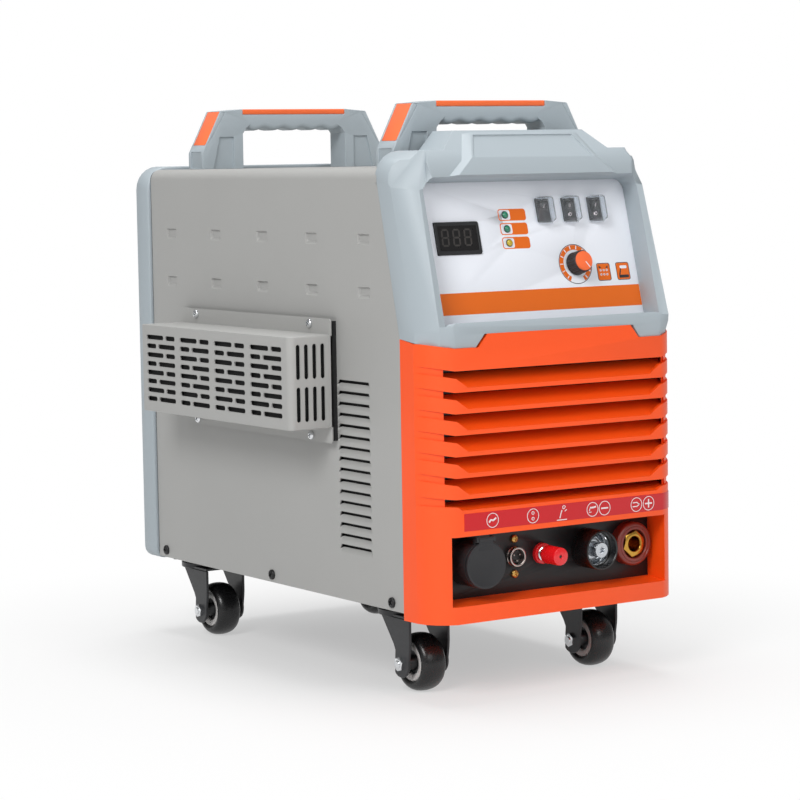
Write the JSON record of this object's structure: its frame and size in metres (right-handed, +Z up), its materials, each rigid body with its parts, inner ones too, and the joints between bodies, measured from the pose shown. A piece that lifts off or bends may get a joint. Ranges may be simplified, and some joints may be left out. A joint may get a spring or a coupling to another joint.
{
  "type": "plasma cutter unit",
  "caption": "Wheeled cabinet for plasma cutting: leaning control panel, louvred front, recessed connectors, side vent hood, carrying handles and swivel casters.",
  "frame": {"origin": "bottom centre of the whole unit, on the floor between the caster wheels", "axes": "+X to the right seen from the front, +Y from the control panel to the rear, +Z up"},
  "size_m": [0.314, 0.518, 0.5012],
  "materials": {
    "black_steel": "satin",
    "painted_sheet": "fine textured powder coat",
    "orange_plastic": "fine moulded texture",
    "grey_plastic": "fine moulded texture",
    "insert_plastic": "soft touch",
    "black_screws": "black oxide",
    "foam": "closed-cell foam",
    "plated_screws": "zinc plated",
    "white_panel": "printed film",
    "display_lens": "smoked",
    "lamp_lens": "translucent",
    "switch_plastic": "satin",
    "clear_cover": "clear soft boot",
    "rocker_plastic": "satin",
    "inner_metal": "plain",
    "knob_plastic": "satin",
    "knob_cap_plastic": "gloss",
    "label_film": "printed film",
    "outlet_plastic": "satin",
    "socket_nickel": "nickel plated",
    "insert_black": "satin",
    "post_red": "gloss",
    "cap_red": "gloss",
    "torch_plastic": "satin",
    "plated_fitting": "zinc plated",
    "earth_plastic": "bakelite",
    "brass": "turned",
    "caster_steel": "glossy black",
    "wheel_rubber": "smooth tread",
    "inner_sheet": "plain",
    "circuit_board": "solder resist",
    "aluminium_fins": "extruded",
    "core_steel": "laminated",
    "pump_metal": "cast",
    "hose_rubber": "smooth",
    "fan_plastic": "satin",
    "breaker_plastic": "satin",
    "gland_plastic": "satin",
    "inlet_brass": "turned"
  },
  "bodies": {
    "cabinet": {"base_pan": "black_steel", "cover": "painted_sheet", "front_grille": "orange_plastic", "front_bezel": "grey_plastic", "rear_frame": "grey_plastic", "rear_panel": "painted_sheet", "front_handle": "grey_plastic", "rear_handle": "grey_plastic", "front_handle_inserts": "insert_plastic", "rear_handle_inserts": "insert_plastic", "case_screws": "black_screws", "vent_hood": "painted_sheet", "hood_gasket": "foam", "panel_screws": "plated_screws", "control_panel": "white_panel", "display_window": "display_lens", "indicator_lamps": "lamp_lens", "switch_bodies": "switch_plastic", "switch_covers": "clear_cover", "potentiometer": "inner_metal", "connector_panel": "black_steel", "label_strip": "label_film", "outlet_body": "outlet_plastic", "trigger_socket": "socket_nickel", "trigger_insert": "insert_black", "pilot_post": "post_red", "torch_insulator": "torch_plastic", "torch_fitting": "plated_fitting", "earth_insulator": "earth_plastic", "earth_socket": "brass", "caster_plates": "caster_steel", "shelf": "inner_sheet", "power_board": "circuit_board", "heat_sinks": "aluminium_fins", "transformer": "core_steel", "control_board": "circuit_board", "compressor": "pump_metal", "air_hose": "hose_rubber", "fan_frame": "fan_plastic", "breaker": "breaker_plastic", "cable_gland": "gland_plastic", "air_inlet": "inlet_brass", "solenoid_valve": "inlet_brass"},
    "knob": {"knob": "knob_plastic", "knob_cap": "knob_cap_plastic"},
    "rocker_left": {"rocker_left": "rocker_plastic"},
    "rocker_middle": {"rocker_middle": "rocker_plastic"},
    "rocker_right": {"rocker_right": "rocker_plastic"},
    "outlet_lid": {"outlet_lid": "outlet_plastic"},
    "pilot_cap": {"pilot_cap": "cap_red"},
    "fork_front_left": {"fork_front_left": "caster_steel"},
    "fork_front_right": {"fork_front_right": "caster_steel"},
    "fork_rear_left": {"fork_rear_left": "caster_steel"},
    "fork_rear_right": {"fork_rear_right": "caster_steel"},
    "wheel_front_left": {"wheel_front_left": "wheel_rubber"},
    "wheel_front_right": {"wheel_front_right": "wheel_rubber"},
    "wheel_rear_left": {"wheel_rear_left": "wheel_rubber"},
    "wheel_rear_right": {"wheel_rear_right": "wheel_rubber"},
    "fan_rotor": {"fan_rotor": "fan_plastic"},
    "breaker_toggle": {"breaker_toggle": "breaker_plastic"}
  },
  "joints": [
    {"name": "swivel_front_left", "type": "hinge", "parent": "cabinet", "child": "fork_front_left", "pos_m": [-0.068, -0.153, 0.0668], "axis": [0, 0, 1], "continuous": true},
    {"name": "roll_front_left", "type": "hinge", "parent": "fork_front_left", "child": "wheel_front_left", "pos_m": [-0.068, -0.175, 0.025], "axis": [1, 0, 0], "continuous": true},
    {"name": "swivel_front_right", "type": "hinge", "parent": "cabinet", "child": "fork_front_right", "pos_m": [0.114, -0.153, 0.0668], "axis": [0, 0, 1], "continuous": true},
    {"name": "roll_front_right", "type": "hinge", "parent": "fork_front_right", "child": "wheel_front_right", "pos_m": [0.114, -0.175, 0.025], "axis": [1, 0, 0], "continuous": true},
    {"name": "swivel_rear_left", "type": "hinge", "parent": "cabinet", "child": "fork_rear_left", "pos_m": [-0.068, 0.1915, 0.0668], "axis": [0, 0, 1], "continuous": true},
    {"name": "roll_rear_left", "type": "hinge", "parent": "fork_rear_left", "child": "wheel_rear_left", "pos_m": [-0.068, 0.1695, 0.025], "axis": [1, 0, 0], "continuous": true},
    {"name": "swivel_rear_right", "type": "hinge", "parent": "cabinet", "child": "fork_rear_right", "pos_m": [0.114, 0.1915, 0.0668], "axis": [0, 0, 1], "continuous": true},
    {"name": "roll_rear_right", "type": "hinge", "parent": "fork_rear_right", "child": "wheel_rear_right", "pos_m": [0.114, 0.1695, 0.025], "axis": [1, 0, 0], "continuous": true},
    {"name": "rocker_left_tilt", "type": "hinge", "parent": "cabinet", "child": "rocker_left", "pos_m": [0.0445, -0.20381, 0.40606], "axis": [1, 0, 0], "range_deg": [-24, 0]},
    {"name": "rocker_middle_tilt", "type": "hinge", "parent": "cabinet", "child": "rocker_middle", "pos_m": [0.0724, -0.20381, 0.40606], "axis": [1, 0, 0], "range_deg": [-24, 0]},
    {"name": "rocker_right_tilt", "type": "hinge", "parent": "cabinet", "child": "rocker_right", "pos_m": [0.1003, -0.20381, 0.40606], "axis": [1, 0, 0], "range_deg": [-24, 0]},
    {"name": "knob_turn", "type": "hinge", "parent": "cabinet", "child": "knob", "pos_m": [0.07, -0.21682, 0.36006], "axis": [0, -0.9677, 0.2521], "range_deg": [-150, 150]},
    {"name": "outlet_lid_hinge", "type": "hinge", "parent": "cabinet", "child": "outlet_lid", "pos_m": [-0.0565, -0.256, 0.138], "axis": [-1, 0, 0], "range_deg": [0, 95], "stiffness_Nm_per_rad": 0.005, "springref_deg": -17.19},
    {"name": "pilot_cap_turn", "type": "hinge", "parent": "cabinet", "child": "pilot_cap", "pos_m": [0.0195, -0.246, 0.1162], "axis": [0, -1, 0], "range_deg": [0, 720]},
    {"name": "fan_spin", "type": "hinge", "parent": "cabinet", "child": "fan_rotor", "pos_m": [0.023, 0.19, 0.2902], "axis": [0, 1, 0], "continuous": true},
    {"name": "breaker_toggle_tilt", "type": "hinge", "parent": "cabinet", "child": "breaker_toggle", "pos_m": [-0.059, 0.215, 0.3932], "axis": [1, 0, 0], "range_deg": [-40, 0]}
  ]
}
